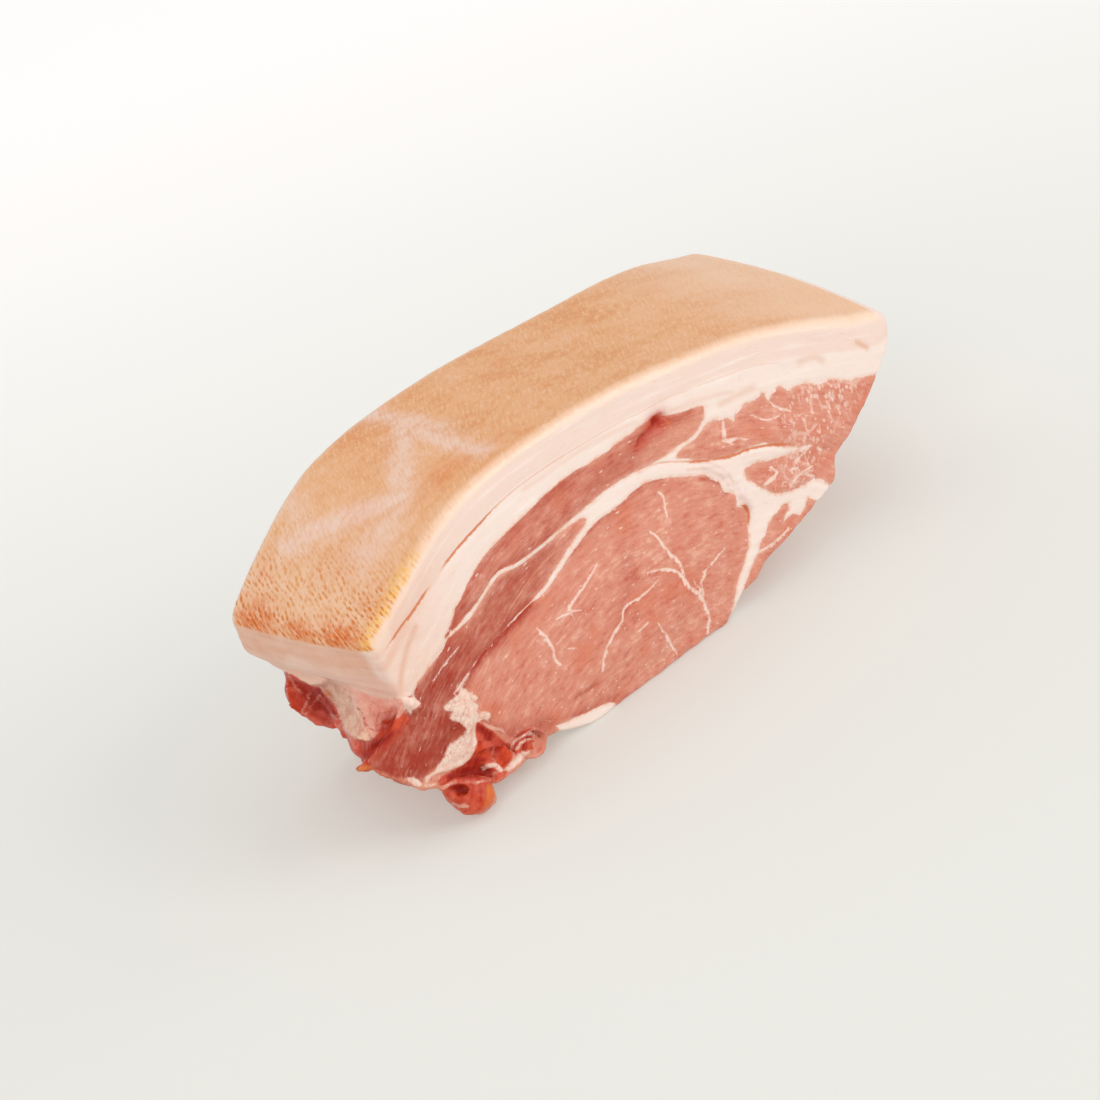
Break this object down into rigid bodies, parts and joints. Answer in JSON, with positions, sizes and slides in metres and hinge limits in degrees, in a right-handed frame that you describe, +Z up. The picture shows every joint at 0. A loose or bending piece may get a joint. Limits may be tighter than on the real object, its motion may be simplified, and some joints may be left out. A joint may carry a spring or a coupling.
{
  "type": "pork chop",
  "caption": "Thick boneless pork loin chop, raw, standing on its rib side: curved rind and fat over the lean eye muscle, with loose trimmings at the belly end.",
  "frame": {"origin": "on the surface the chop rests on, under the middle of its box", "axes": "+X from the belly end to the chine end, +Y from the front cut face to the back cut face, +Z up through the rind"},
  "size_m": [0.2388, 0.095, 0.0941],
  "materials": {
    "raw_pork": "satin"
  },
  "bodies": {
    "root": {"pork_chop": "raw_pork"}
  },
  "joints": []
}
